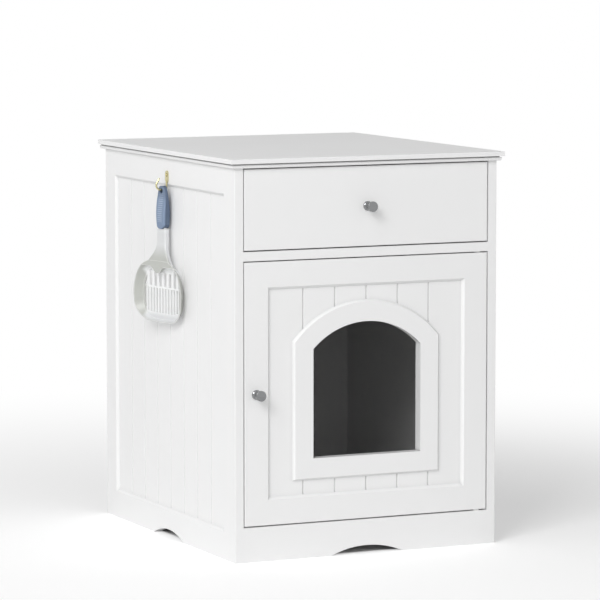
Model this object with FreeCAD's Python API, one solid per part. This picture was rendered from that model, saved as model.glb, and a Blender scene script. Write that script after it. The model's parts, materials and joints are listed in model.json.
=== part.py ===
"""Litter box cabinet: a board cabinet with an arched entrance in its door, a drawer above it,
and a scoop that hangs from a hook on its left side.

Millimetres. X is to the right seen from the front, Y to the back, Z up. The origin is the centre
of the body's footprint on the floor. Each piece is written to parts/ under its own name.
"""
import FreeCAD, Part
import math
import os

V = FreeCAD.Vector
LEFT = V(-1, 0, 0)
RIGHT = V(1, 0, 0)
FORWARD = V(0, -1, 0)
BACKWARD = V(0, 1, 0)
UP = V(0, 0, 1)
DOWN = V(0, 0, -1)

# ---------------------------------------------------------------- driving dimensions
# Body
HEIGHT = 650.0              # floor to the top face
BODY_WIDTH = 470.0          # over both side panels
BODY_DEPTH = 550.0          # side panels, front edge to rear edge
BOARD = 15.0                # thickness of every board of the body
EDGE_ROUND = 1.0            # rounding of the outer edges of painted boards
APRON_HEIGHT = 56.3         # rail under the door
DOOR_HEIGHT = 425.9
REVEAL = 2.0                # gap all round the door and the drawer front

# Moulded edge of the top board, from the top face down
TOP_OVERHANG = 10.0         # past the body on every side
TOP_BAND = 7.5              # upright band under the top face
TOP_QUIRK = 2.2             # height of the shadow groove under the band
TOP_QUIRK_DEPTH = 6.5
TOP_STEP = 3.8              # band to the nose under the groove
TOP_NOSE = 2.0              # rounding of the nose at the underside

# Routed panels of the sides and the door
RECESS_DEPTH = 4.5
RECESS_BEVEL = 4.5          # width of the sloping border of a recess
GROOVE_WIDTH = 3.0
GROOVE_DEPTH = 1.5
GROOVE_PITCH = 56.4
SIDE_GROOVE_COUNT = 7
SIDE_MARGIN = 43.0          # plain border in front of and behind the side's recess
SIDE_RECESS_BOTTOM = 44.7
SIDE_RECESS_DROP = 42.7     # underside of the top to the side's recess
DOOR_GROOVE_COUNT = 5
DOOR_MARGIN = 41.0          # plain border all round the door's recess

# Arched cut-outs in the foot of the sides and the apron
FOOT_ARCH_WIDTH = 129.0
FOOT_ARCH_RISE = 13.5

# Door and its arched entrance
DOOR_THICKNESS = 18.0
ENTRANCE_WIDTH = 193.0
ENTRANCE_BOTTOM = 162.0
ENTRANCE_TOP = 381.0
ENTRANCE_RADIUS = 134.0
TRIM_WIDTH = 32.0           # raised border round the entrance
TRIM_BEVEL = 3.5

# Pivot pins of the door
PIVOT_INSET = 16.0          # axis from the door's right edge
PIVOT_PIN_RADIUS = 3.0
PIVOT_PIN_IN_DOOR = 20.0
PIVOT_PIN_IN_BUSH = 8.0
PIVOT_RUNNING_GAP = 0.05
BUSH_RADIUS = 4.6
BUSH_LENGTH = 10.0
BUSH_FLANGE_RADIUS = 6.5
BUSH_FLANGE = 0.9

# Knobs
KNOB_FOOT_RADIUS = 7.8
KNOB_NECK_RADIUS = 5.0
KNOB_HEAD_RADIUS = 8.6
KNOB_LENGTH = 22.5
KNOB_FOOT = 1.4             # thickness of the foot's rim
KNOB_EDGE = 0.8             # rounding round the head's face
KNOB_DOME = 1.4             # rise of the head's face
KNOB_SCREW_RADIUS = 2.0
KNOB_SCREW_GRIP = 8.0       # length of the screw inside the knob

# Magnetic catch of the door
CATCH_INSET = 68.0          # door's left edge to the catch's middle
CATCH_WIDTH = 28.0
CATCH_DEPTH = 14.0
CATCH_HEIGHT = 12.0
CATCH_EAR = 9.0
CATCH_EAR_THICKNESS = 3.0
CATCH_PLATE_THICKNESS = 1.2
CATCH_GAP = 0.3

# Back panel in its grooves
BACK_THICKNESS = 5.0
BACK_SETBACK = 11.0         # rear edge of the sides to the rear face of the back panel
BACK_GROOVE_DEPTH = 6.0
BACK_PLAY = 0.2

# Drawer box
DRAWER_DEPTH = 400.0
DRAWER_BOARD = 12.0
DRAWER_RISE = 12.8          # bottom of the front to the bottom of the box
DRAWER_DROP = 17.0          # top of the front to the top of the box
DRAWER_BOTTOM_THICKNESS = 3.0
DRAWER_BOTTOM_RISE = 6.0    # bottom of the box to its floor panel
DRAWER_GROOVE_DEPTH = 5.0
DRAWER_TRAVEL = 300.0

# Roller runners
RUNNER_SPACE = 12.5         # between the drawer's side and the cabinet's side
RUNNER_THICKNESS = 1.2
RUNNER_LENGTH = 400.0
ROLLER_RADIUS = 8.5
ROLLER_WIDTH = 5.5
ROLLER_GAP = 0.1            # roller to the track that it runs on
ROLLER_HEADROOM = 0.4       # roller to the flange above it
AXLE_RADIUS = 2.0
AXLE_RUNNING_GAP = 0.05
AXLE_HEAD_RADIUS = 3.4
AXLE_HEAD = 0.7
STOP_HEIGHT = 4.0

# Fasteners
SCREW_RADIUS = 1.6
HOLE_GAP = 0.1              # radial, round a fastener in its hole
CAM_RADIUS = 7.4
CAM_DEPTH = 11.8
CAM_REACH = 24.0            # end of the board to the cam's axis
CAM_PIN_RADIUS = 3.0
CAM_PIN_NECK = 1.8
CAM_PIN_HEAD = 4.0
PIN_IN_PANEL = 8.0          # pins and dowels in the face of the other board
DOWEL_RADIUS = 4.0
DOWEL_LENGTH = 28.0

# Hook
HOOK_WIRE_RADIUS = 1.6
HOOK_PLATE_WIDTH = 11.0
HOOK_PLATE_THICKNESS = 2.0
HOOK_PLATE_HEIGHT = 20.5
HOOK_DROP = 20.5            # underside of the top to the plate
HOOK_SEAT_DROP = 11.0       # plate to the axis of the wire that carries the scoop
HOOK_BEND = 3.5
HOOK_SEAT_REACH = 12.5      # panel to the end of the level stretch
HOOK_ARM_REACH = 19.0
HOOK_ARM_RISE = 11.0
HOOK_TIP_RISE = 18.0

# Scoop, turned a little towards the front
SCOOP_TURN = 10.0           # degrees
SCOOP_STANDOFF = 8.0        # panel to the middle plane of the handle
SCOOP_LENGTH = 232.0        # top of the eye to the lowest point of the rim's outline
EYE_RADIUS = 4.2
EYE_TOP_WALL = 4.3
EYE_THICKNESS = 7.0
SEAT_GAP = 0.6              # wire to the top of the eye
GRIP_LENGTH = 71.5
GRIP_WIDTH = 27.0
GRIP_END_WIDTH = 23.0
GRIP_THICKNESS = 14.0
GRIP_ROUND = 3.0
NECK_WIDTH = 26.0
NECK_THICKNESS = 9.0
NECK_ROUND = 2.5
TONGUE_WIDTH = 14.0
TONGUE_THICKNESS = 5.0
TONGUE_LENGTH = 46.0

# Basket of the scoop; heights are from its lowest point
RIM_WIDTH = 146.0
RIM_OUT = 12.5              # handle's middle plane to the plane of the rim
RIM_BOW = 38.0              # half width of the bowed bottom edge
RIM_CORNER = 41.0           # top of the round lower corners
RIM_SHOULDER = 67.0         # where the sides start to draw in
RIM_TOP = 109.0             # where the shoulders meet the neck's flare
FLARE_TOP = 137.0           # where the neck starts to widen
FLARE_WIDTH = 88.0          # at the edge of the closed shoulder
LIP_OUT = 4.5               # the rim is lower along the bottom edge
FLOOR_WIDTH = 121.0
FLOOR_BACK = 1.0            # handle's middle plane to the back of the floor
FLOOR_THICKNESS = 2.2
BASKET_WALL = 2.0
HOOD_EDGE = 98.0            # edge of the closed shoulder over the slots
BEAK_DROP = 10.5            # its middle reaches down by this
BEAK_HALF_WIDTH = 22.0
SLOT_BAR = 3.0              # between the two rows of slots
SLOT_MARGIN = 3.5           # outside of the wall's foot to the slots
LOWER_SLOT_FOOT = 20.0
LOWER_SLOT_TOP = 61.0
LOWER_SLOT_COUNT = 13
LOWER_SLOT_WIDTH = 5.0
LOWER_SLOT_PITCH = 8.8
UPPER_SLOT_COUNT = 8
UPPER_SLOT_WIDTH = 8.0
UPPER_SLOT_PITCH = 14.6

# ---------------------------------------------------------------- places that follow
OUTER_X = BODY_WIDTH / 2
INNER_X = OUTER_X - BOARD
FRONT_Y = -BODY_DEPTH / 2
REAR_Y = BODY_DEPTH / 2
BEHIND_APRON_Y = FRONT_Y + BOARD
TOP_UNDERSIDE = HEIGHT - BOARD
BACK_REAR_Y = REAR_Y - BACK_SETBACK
BACK_FRONT_Y = BACK_REAR_Y - BACK_THICKNESS
BOTTOM_UNDERSIDE = APRON_HEIGHT - BOARD
DOOR_BOTTOM = APRON_HEIGHT + REVEAL
DOOR_TOP = DOOR_BOTTOM + DOOR_HEIGHT
DIVIDER_BOTTOM = DOOR_TOP + REVEAL
DIVIDER_TOP = DIVIDER_BOTTOM + BOARD
FRONT_BOTTOM = DIVIDER_TOP + REVEAL
FRONT_TOP = TOP_UNDERSIDE - REVEAL
FRONT_HALF_WIDTH = INNER_X - REVEAL
DOOR_REAR_Y = FRONT_Y + DOOR_THICKNESS
PIVOT_X = FRONT_HALF_WIDTH - PIVOT_INSET
PIVOT_Y = FRONT_Y + BOARD / 2
ARCH_CENTRE_Z = ENTRANCE_TOP - ENTRANCE_RADIUS
DOOR_KNOB_X = -FRONT_HALF_WIDTH + DOOR_MARGIN / 2
DOOR_KNOB_Z = (DOOR_BOTTOM + DOOR_TOP) / 2
DRAWER_KNOB_Z = (FRONT_BOTTOM + FRONT_TOP) / 2
CATCH_X = CATCH_INSET - FRONT_HALF_WIDTH
BOX_OUTER_X = INNER_X - RUNNER_SPACE
BOX_INNER_X = BOX_OUTER_X - DRAWER_BOARD
BOX_BOTTOM = FRONT_BOTTOM + DRAWER_RISE
BOX_TOP = FRONT_TOP - DRAWER_DROP
BOX_REAR_Y = DOOR_REAR_Y + DRAWER_DEPTH
BOX_FLOOR_Z = BOX_BOTTOM + DRAWER_BOTTOM_RISE
SIDE_RECESS_TOP = TOP_UNDERSIDE - SIDE_RECESS_DROP
HOOK_PLATE_TOP = TOP_UNDERSIDE - HOOK_DROP
HOOK_PLATE_BOTTOM = HOOK_PLATE_TOP - HOOK_PLATE_HEIGHT
HOOK_SEAT_Z = HOOK_PLATE_BOTTOM - HOOK_SEAT_DROP
CAM_Y = GROOVE_PITCH * 3.5  # joints stand between the grooves of the side panels
DOWEL_Y = GROOVE_PITCH * 2.5


# ---------------------------------------------------------------- small helpers
def block(x0, x1, y0, y1, z0, z1):
    return Part.makeBox(x1 - x0, y1 - y0, z1 - z0, V(x0, y0, z0))


def rod(start, direction, radius, length):
    return Part.makeCylinder(radius, length, start, direction)


def outline(*pieces):
    """A closed wire from lines (two points) and arcs (three points)."""
    edges = []
    for piece in pieces:
        curve = Part.Arc(*piece) if len(piece) == 3 else Part.LineSegment(*piece)
        edges.append(curve.toShape())
    return Part.Wire(edges)


def polygon(points):
    return Part.makePolygon(points + points[:1])


def plate(wire, depth):
    return Part.Face(wire).extrude(depth)


def mirrored(shape):
    return shape.mirror(V(0, 0, 0), RIGHT)


def both_sides(shape):
    return [shape, mirrored(shape)]


def round_edges(shape, radius, wanted):
    edges = [edge for edge in shape.Edges if wanted(edge)]
    return shape.makeFillet(radius, edges)


def runs_along(edge, axis):
    ends = [vertex.Point for vertex in edge.Vertexes]
    if len(ends) != 2:
        return False
    return abs(abs((ends[1] - ends[0]).normalize().dot(axis)) - 1.0) < 1e-6


def at_level(edge, axis, level):
    box = edge.BoundBox
    low = V(box.XMin, box.YMin, box.ZMin).dot(axis)
    high = V(box.XMax, box.YMax, box.ZMax).dot(axis)
    return abs(low - level) < 1e-4 and abs(high - level) < 1e-4


# ---------------------------------------------------------------- fasteners
def screw(seat, direction, radius, length, head_radius, head_height):
    """A screw whose head stands on seat and whose shank runs along direction."""
    shank = rod(seat, direction, radius, length)
    head = rod(seat - direction * head_height, direction, head_radius, head_height)
    return head.fuse(shank).removeSplitter()


def hole(seat, direction, radius, length):
    return rod(seat, direction, radius + HOLE_GAP, length)


def cam_pin(joint_point, into_panel):
    """Steel pin: shank in the panel and the board's end, then a neck and a head in the cam."""
    start = joint_point + into_panel * PIN_IN_PANEL
    inward = into_panel * -1
    shank_length = PIN_IN_PANEL + CAM_REACH - CAM_RADIUS - HOLE_GAP
    head_start = joint_point + inward * (CAM_REACH - CAM_PIN_HEAD / 2)
    neck_start = start + inward * shank_length
    shank = rod(start, inward, CAM_PIN_RADIUS, shank_length)
    neck = rod(neck_start, inward, CAM_PIN_NECK, (head_start - neck_start).Length)
    head = rod(head_start, inward, CAM_PIN_RADIUS, CAM_PIN_HEAD)
    return shank.fuse([neck, head])


def cam_nut(joint_point, into_panel, mouth):
    """Round cam whose face is flush with the board on the side that mouth points to."""
    centre = joint_point - into_panel * CAM_REACH
    face = centre + mouth * (BOARD / 2)
    body = rod(face, mouth * -1, CAM_RADIUS, CAM_DEPTH)
    seat_length = CAM_RADIUS + CAM_PIN_HEAD / 2
    seat = hole(centre + into_panel * CAM_RADIUS, into_panel * -1, CAM_PIN_RADIUS, seat_length)
    slot_side = CAM_RADIUS * 0.6
    slot = rod(face, mouth * -1, slot_side, CAM_PIN_RADIUS / 2)
    return body.cut([seat, slot])


def cam_holes(joint_point, into_panel, mouth):
    """Holes for the pin in both boards and for the cam in the board that it draws in."""
    centre = joint_point - into_panel * CAM_REACH
    pin_hole = hole(joint_point + into_panel * PIN_IN_PANEL, into_panel * -1,
                    CAM_PIN_RADIUS, PIN_IN_PANEL + CAM_REACH)
    cam_hole = hole(centre + mouth * (BOARD / 2), mouth * -1, CAM_RADIUS, CAM_DEPTH)
    return pin_hole, cam_hole


def right_hand_joints():
    """Cam joints of the right side: joint point, direction into the panel, cam mouth."""
    bottom_mid = BOTTOM_UNDERSIDE + BOARD / 2
    divider_mid = DIVIDER_BOTTOM + BOARD / 2
    apron_mid = BOTTOM_UNDERSIDE - CAM_RADIUS * 1.5
    side_mid = INNER_X + BOARD / 2
    joints = []
    for y in (-CAM_Y, CAM_Y):
        joints.append((V(INNER_X, y, bottom_mid), RIGHT, DOWN))
        joints.append((V(INNER_X, y, divider_mid), RIGHT, DOWN))
        joints.append((V(side_mid, y, TOP_UNDERSIDE), UP, LEFT))
    joints.append((V(INNER_X, FRONT_Y + BOARD / 2, apron_mid), RIGHT, BACKWARD))
    return joints


def right_hand_dowels():
    """Dowels of the right side: joint point and direction into the panel."""
    bottom_mid = BOTTOM_UNDERSIDE + BOARD / 2
    divider_mid = DIVIDER_BOTTOM + BOARD / 2
    side_mid = INNER_X + BOARD / 2
    dowels = []
    for y in (-DOWEL_Y, DOWEL_Y):
        dowels.append((V(INNER_X, y, bottom_mid), RIGHT))
        dowels.append((V(INNER_X, y, divider_mid), RIGHT))
        dowels.append((V(side_mid, y, TOP_UNDERSIDE), UP))
    dowels.append((V(INNER_X, FRONT_Y + BOARD / 2, DOWEL_RADIUS * 2), RIGHT))
    return dowels


def dowel(joint_point, into_panel, clearance=0.0):
    start = joint_point + into_panel * PIN_IN_PANEL
    return rod(start, into_panel * -1, DOWEL_RADIUS + clearance, DOWEL_LENGTH)


def joint_cutters():
    """Every hole that the flat-pack joints need, for both sides of the cabinet."""
    cutters = []
    for point, into_panel, mouth in right_hand_joints():
        cutters.extend(cam_holes(point, into_panel, mouth))
    for point, into_panel in right_hand_dowels():
        cutters.append(dowel(point, into_panel, HOLE_GAP))
    return cutters + [mirrored(cutter) for cutter in cutters]


def joint_hardware():
    nuts = []
    pins = []
    dowels = []
    for point, into_panel, mouth in right_hand_joints():
        nuts += both_sides(cam_nut(point, into_panel, mouth))
        pins += both_sides(cam_pin(point, into_panel))
    for point, into_panel in right_hand_dowels():
        dowels += both_sides(dowel(point, into_panel))
    return {
        "cam_lock_nuts": Part.makeCompound(nuts),
        "cam_lock_pins": Part.makeCompound(pins),
        "wood_dowels": Part.makeCompound(dowels),
    }


# ---------------------------------------------------------------- routed boards
def rectangle(half_width, z0, z1, y):
    return polygon([V(-half_width, y, z0), V(half_width, y, z0),
                    V(half_width, y, z1), V(-half_width, y, z1)])


def routed_recess(half_width, z0, z1, face_y):
    """Cutter for a recess with sloping borders in a face that looks to the front."""
    rim = rectangle(half_width, z0, z1, face_y)
    floor = rectangle(half_width - RECESS_BEVEL, z0 + RECESS_BEVEL, z1 - RECESS_BEVEL,
                      face_y + RECESS_DEPTH)
    return Part.makeLoft([rim, floor], True, True)


def v_grooves(count, z0, z1, face_y):
    """Cutters for upright V grooves in the floor of such a recess."""
    floor_y = face_y + RECESS_DEPTH
    bottom = z0 + RECESS_BEVEL
    length = z1 - z0 - 2 * RECESS_BEVEL
    grooves = []
    for index in range(count):
        x = (index - (count - 1) / 2) * GROOVE_PITCH
        section = polygon([V(x - GROOVE_WIDTH / 2, floor_y, bottom),
                           V(x, floor_y + GROOVE_DEPTH, bottom),
                           V(x + GROOVE_WIDTH / 2, floor_y, bottom)])
        grooves.append(plate(section, UP * length))
    return grooves


def foot_arch(face_y, depth):
    """Cutter for the low arch in a board's foot, seen from the front."""
    half = FOOT_ARCH_WIDTH / 2
    left = V(-half, face_y, 0)
    right = V(half, face_y, 0)
    crown = V(0, face_y, FOOT_ARCH_RISE)
    return plate(outline((left, crown, right), (right, left)), BACKWARD * depth)


def entrance_outline(grow, y):
    """The entrance's outline, moved outwards by grow."""
    half = ENTRANCE_WIDTH / 2 + grow
    radius = ENTRANCE_RADIUS + grow
    bottom = ENTRANCE_BOTTOM - grow
    spring = ARCH_CENTRE_Z + math.sqrt(radius ** 2 - half ** 2)
    foot_left = V(-half, y, bottom)
    foot_right = V(half, y, bottom)
    spring_left = V(-half, y, spring)
    spring_right = V(half, y, spring)
    crown = V(0, y, ARCH_CENTRE_Z + radius)
    return outline((foot_left, foot_right), (foot_right, spring_right),
                   (spring_right, crown, spring_left), (spring_left, foot_left))


# ---------------------------------------------------------------- body of the cabinet
def side_board():
    """The left side panel, drawn facing front and then turned to face left."""
    half = BODY_DEPTH / 2
    board = block(-half, half, -OUTER_X, -INNER_X, 0, TOP_UNDERSIDE)
    board = round_edges(board, EDGE_ROUND,
                        lambda edge: runs_along(edge, UP) and at_level(edge, BACKWARD, -OUTER_X))
    recess_half = half - SIDE_MARGIN
    cutters = v_grooves(SIDE_GROOVE_COUNT, SIDE_RECESS_BOTTOM, SIDE_RECESS_TOP, -OUTER_X)
    cutters.append(routed_recess(recess_half, SIDE_RECESS_BOTTOM, SIDE_RECESS_TOP, -OUTER_X))
    cutters.append(foot_arch(-OUTER_X, BOARD))
    board = board.cut(cutters)
    board.rotate(V(0, 0, 0), UP, -90)
    groove = block(-INNER_X - BACK_GROOVE_DEPTH, -INNER_X,
                   BACK_FRONT_Y - BACK_PLAY / 2, BACK_REAR_Y + BACK_PLAY / 2, 0, TOP_UNDERSIDE)
    return board.cut(groove)


def side_panels(cutters):
    plain = side_board()
    hook_cutters = [hole(V(-OUTER_X, 0, hook_screw_z()), RIGHT, SCREW_RADIUS, PIN_IN_PANEL)]
    left = plain.cut(cutters + hook_cutters)
    right = mirrored(plain).cut(cutters)
    return {"side_panel_left": left, "side_panel_right": right}


def top_profile(half_length, rear_plain):
    """Section of the top board across one direction: list of outline pieces.

    The moulding is on both ends, or on the low end only where the rear is plain.
    """
    reach = half_length + TOP_OVERHANG
    band_foot = HEIGHT - TOP_BAND
    quirk_foot = band_foot - TOP_QUIRK
    quirk = reach - TOP_QUIRK_DEPTH
    nose_top = TOP_UNDERSIDE + TOP_NOSE
    nose_face = reach - TOP_STEP
    nose_inner = nose_face - TOP_NOSE
    diagonal = math.sqrt(0.5)
    edge = EDGE_ROUND

    def moulding(sign):
        shoulder = (reach - edge + edge * diagonal, HEIGHT - edge + edge * diagonal)
        nose = (nose_inner + TOP_NOSE * diagonal, nose_top - TOP_NOSE * diagonal)
        points = [[(reach - edge, HEIGHT), shoulder, (reach, HEIGHT - edge)],
                  [(reach, HEIGHT - edge), (reach, band_foot)],
                  [(reach, band_foot), (quirk, band_foot)],
                  [(quirk, band_foot), (quirk, quirk_foot)],
                  [(quirk, quirk_foot), (nose_face, quirk_foot)],
                  [(nose_face, quirk_foot), (nose_face, nose_top)],
                  [(nose_face, nose_top), nose, (nose_inner, TOP_UNDERSIDE)]]
        return [[(sign * across, up) for across, up in piece] for piece in points]

    low = moulding(-1)
    high = moulding(1)
    if rear_plain:
        high = [[(reach, HEIGHT), (reach, TOP_UNDERSIDE)]]
    top_line = [[low[0][0], high[0][0]]]
    underside = [[high[-1][-1], low[-1][-1]]]
    return top_line + high + underside + [piece[::-1] for piece in low[::-1]]


def top_panel(cutters):
    """Two crossed mouldings, so that the corners are mitred."""
    across = [[V(x, -BODY_DEPTH, z) for x, z in piece]
              for piece in top_profile(OUTER_X, False)]
    along = [[V(-BODY_WIDTH, y, z) for y, z in piece]
             for piece in top_profile(BODY_DEPTH / 2, True)]
    lengthwise = plate(outline(*across), BACKWARD * (2 * BODY_DEPTH))
    crosswise = plate(outline(*along), RIGHT * (2 * BODY_WIDTH))
    board = lengthwise.common(crosswise)
    groove = block(-INNER_X - BACK_GROOVE_DEPTH, INNER_X + BACK_GROOVE_DEPTH,
                   BACK_FRONT_Y - BACK_PLAY / 2, BACK_REAR_Y + BACK_PLAY / 2,
                   TOP_UNDERSIDE, TOP_UNDERSIDE + BACK_GROOVE_DEPTH)
    return board.cut(cutters + [groove])


def front_apron(cutters):
    board = block(-INNER_X, INNER_X, FRONT_Y, BEHIND_APRON_Y, 0, APRON_HEIGHT)
    return board.cut(cutters + [foot_arch(FRONT_Y, BOARD), bush_hole(APRON_HEIGHT, DOWN)])


def bottom_panel(cutters):
    board = block(-INNER_X, INNER_X, BEHIND_APRON_Y, BACK_FRONT_Y,
                  BOTTOM_UNDERSIDE, APRON_HEIGHT)
    return board.cut(cutters + back_screw_holes())


def divider_panel(cutters):
    board = block(-INNER_X, INNER_X, FRONT_Y, BACK_FRONT_Y, DIVIDER_BOTTOM, DIVIDER_TOP)
    catch_holes = [hole(V(x, catch_middle_y(), DIVIDER_BOTTOM), UP, SCREW_RADIUS, BOARD * 0.7)
                   for x in catch_screw_places()]
    return board.cut(cutters + back_screw_holes() + catch_holes
                     + [bush_hole(DIVIDER_BOTTOM, UP)])


def back_panel():
    half = INNER_X + BACK_GROOVE_DEPTH - BACK_PLAY
    sheet = block(-half, half, BACK_FRONT_Y, BACK_REAR_Y,
                  BOTTOM_UNDERSIDE, TOP_UNDERSIDE + BACK_GROOVE_DEPTH - BACK_PLAY)
    return sheet.cut(back_screw_holes())


def back_screw_seats():
    """Heads of the screws that hold the back panel to the shelf and the bottom."""
    spread = BODY_WIDTH / 3
    levels = (BOTTOM_UNDERSIDE + BOARD / 2, DIVIDER_BOTTOM + BOARD / 2)
    return [V(x, BACK_REAR_Y, z) for z in levels for x in (-spread, 0, spread)]


def back_screw_holes():
    return [hole(seat, FORWARD, SCREW_RADIUS, BACK_THICKNESS + BOARD)
            for seat in back_screw_seats()]


def back_panel_screws():
    screws = [screw(seat, FORWARD, SCREW_RADIUS, BACK_THICKNESS + BOARD,
                    SCREW_RADIUS * 2.2, SCREW_RADIUS) for seat in back_screw_seats()]
    return Part.makeCompound(screws)


# ---------------------------------------------------------------- hook
def hook_screw_z():
    return (HOOK_PLATE_BOTTOM + HOOK_PLATE_TOP) / 2 + HOOK_WIRE_RADIUS * 2


def scoop_hook():
    """Round-ended plate with one screw hole, and a wire bent out of its lower end."""
    half = HOOK_PLATE_WIDTH / 2
    face_x = -OUTER_X
    top_centre = HOOK_PLATE_TOP - half
    low_centre = HOOK_PLATE_BOTTOM + half
    rim = outline((V(face_x, -half, low_centre), V(face_x, -half, top_centre)),
                  (V(face_x, -half, top_centre), V(face_x, 0, HOOK_PLATE_TOP),
                   V(face_x, half, top_centre)),
                  (V(face_x, half, top_centre), V(face_x, half, low_centre)),
                  (V(face_x, half, low_centre), V(face_x, 0, HOOK_PLATE_BOTTOM),
                   V(face_x, -half, low_centre)))
    base = plate(rim, LEFT * HOOK_PLATE_THICKNESS)
    base = base.cut(hole(V(face_x, 0, hook_screw_z()), LEFT, SCREW_RADIUS, HOOK_PLATE_THICKNESS))

    wire_x = face_x - HOOK_WIRE_RADIUS
    start = V(wire_x, 0, low_centre)
    bend_top = V(wire_x, 0, HOOK_SEAT_Z + HOOK_BEND)
    bend_mid = V(wire_x - HOOK_BEND * (1 - math.sqrt(0.5)), 0,
                 HOOK_SEAT_Z + HOOK_BEND * (1 - math.sqrt(0.5)))
    bend_end = V(wire_x - HOOK_BEND, 0, HOOK_SEAT_Z)
    seat_end = V(face_x - HOOK_SEAT_REACH, 0, HOOK_SEAT_Z)
    rise = V(face_x - HOOK_ARM_REACH, 0, HOOK_SEAT_Z + HOOK_ARM_RISE) - seat_end
    # The arm leaves the level stretch in an arc that is tangent to it.
    turn = 2 * math.atan2(rise.z, -rise.x)
    radius = rise.Length / (2 * math.sin(turn / 2))
    arm_end = seat_end + rise
    arm_mid = seat_end + V(-radius * math.sin(turn / 2), 0, radius * (1 - math.cos(turn / 2)))
    leaving = V(-math.cos(turn), 0, math.sin(turn))
    tip = arm_end + leaving * ((HOOK_TIP_RISE - HOOK_ARM_RISE) / math.sin(turn))
    path = Part.Wire([Part.LineSegment(start, bend_top).toShape(),
                      Part.Arc(bend_top, bend_mid, bend_end).toShape(),
                      Part.LineSegment(bend_end, seat_end).toShape(),
                      Part.Arc(seat_end, arm_mid, arm_end).toShape(),
                      Part.LineSegment(arm_end, tip).toShape()])
    section = Part.Wire([Part.makeCircle(HOOK_WIRE_RADIUS, start, DOWN)])
    wire = path.makePipeShell([section], True, False)
    ball = Part.makeSphere(HOOK_WIRE_RADIUS, tip)
    return base.fuse([wire, ball]).removeSplitter()


def hook_screw():
    seat = V(-OUTER_X - HOOK_PLATE_THICKNESS, 0, hook_screw_z())
    return screw(seat, RIGHT, SCREW_RADIUS, HOOK_PLATE_THICKNESS + PIN_IN_PANEL,
                 SCREW_RADIUS * 1.9, SCREW_RADIUS * 0.7)


# ---------------------------------------------------------------- door
def bush_hole(level, direction):
    return hole(V(PIVOT_X, PIVOT_Y, level), direction, BUSH_RADIUS, BUSH_LENGTH)


def pivot_bush(level, into_board):
    """Flanged bush; the flange lies on the board that the sleeve goes into."""
    centre = V(PIVOT_X, PIVOT_Y, level)
    sleeve = rod(centre, into_board, BUSH_RADIUS, BUSH_LENGTH)
    flange = rod(centre - into_board * BUSH_FLANGE, into_board, BUSH_FLANGE_RADIUS, BUSH_FLANGE)
    bore = rod(centre - into_board * BUSH_FLANGE, into_board,
               PIVOT_PIN_RADIUS + PIVOT_RUNNING_GAP, BUSH_FLANGE + BUSH_LENGTH)
    return sleeve.fuse(flange).cut(bore).removeSplitter()


def pivot_pin(door_edge, outwards, collar):
    """Pin pressed into the door's edge, with a collar that fills the gap to the bush."""
    centre = V(PIVOT_X, PIVOT_Y, door_edge)
    start = centre - outwards * PIVOT_PIN_IN_DOOR
    pin = rod(start, outwards, PIVOT_PIN_RADIUS, PIVOT_PIN_IN_DOOR + REVEAL + PIVOT_PIN_IN_BUSH)
    ring = rod(centre, outwards, BUSH_FLANGE_RADIUS, collar)
    return pin.fuse(ring).removeSplitter()


def pivot_hardware():
    """The lower collar carries the door; the upper one keeps a small play."""
    collar = REVEAL - BUSH_FLANGE
    return {
        "pivot_bush_bottom": pivot_bush(APRON_HEIGHT, DOWN),
        "pivot_bush_top": pivot_bush(DIVIDER_BOTTOM, UP),
        "pivot_pin_bottom": pivot_pin(DOOR_BOTTOM, DOWN, collar),
        "pivot_pin_top": pivot_pin(DOOR_TOP, UP, collar / 2),
    }


def door_panel():
    board = block(-FRONT_HALF_WIDTH, FRONT_HALF_WIDTH, FRONT_Y, DOOR_REAR_Y,
                  DOOR_BOTTOM, DOOR_TOP)
    board = round_edges(board, EDGE_ROUND, lambda edge: at_level(edge, BACKWARD, FRONT_Y))
    recess_bottom = DOOR_BOTTOM + DOOR_MARGIN
    recess_top = DOOR_TOP - DOOR_MARGIN
    trim_foot = entrance_outline(TRIM_WIDTH + TRIM_BEVEL, FRONT_Y + RECESS_DEPTH)
    trim = Part.makeLoft([entrance_outline(TRIM_WIDTH, FRONT_Y), trim_foot], True, True)
    trim_root = plate(trim_foot, BACKWARD * GROOVE_DEPTH)
    recess = routed_recess(FRONT_HALF_WIDTH - DOOR_MARGIN, recess_bottom, recess_top, FRONT_Y)
    board = board.cut(recess.cut(trim))
    grooves = v_grooves(DOOR_GROOVE_COUNT, recess_bottom, recess_top, FRONT_Y)
    board = board.cut([groove.cut(trim_root) for groove in grooves])
    board = board.cut(plate(entrance_outline(0, FRONT_Y), BACKWARD * DOOR_THICKNESS))
    holes = [hole(V(PIVOT_X, PIVOT_Y, DOOR_BOTTOM), UP, PIVOT_PIN_RADIUS, PIVOT_PIN_IN_DOOR),
             hole(V(PIVOT_X, PIVOT_Y, DOOR_TOP), DOWN, PIVOT_PIN_RADIUS, PIVOT_PIN_IN_DOOR),
             hole(V(DOOR_KNOB_X, DOOR_REAR_Y, DOOR_KNOB_Z), FORWARD,
                  KNOB_SCREW_RADIUS, DOOR_THICKNESS),
             hole(V(CATCH_X, DOOR_REAR_Y, catch_plate_z()), FORWARD, SCREW_RADIUS, BOARD * 0.8)]
    return board.cut(holes)


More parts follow.
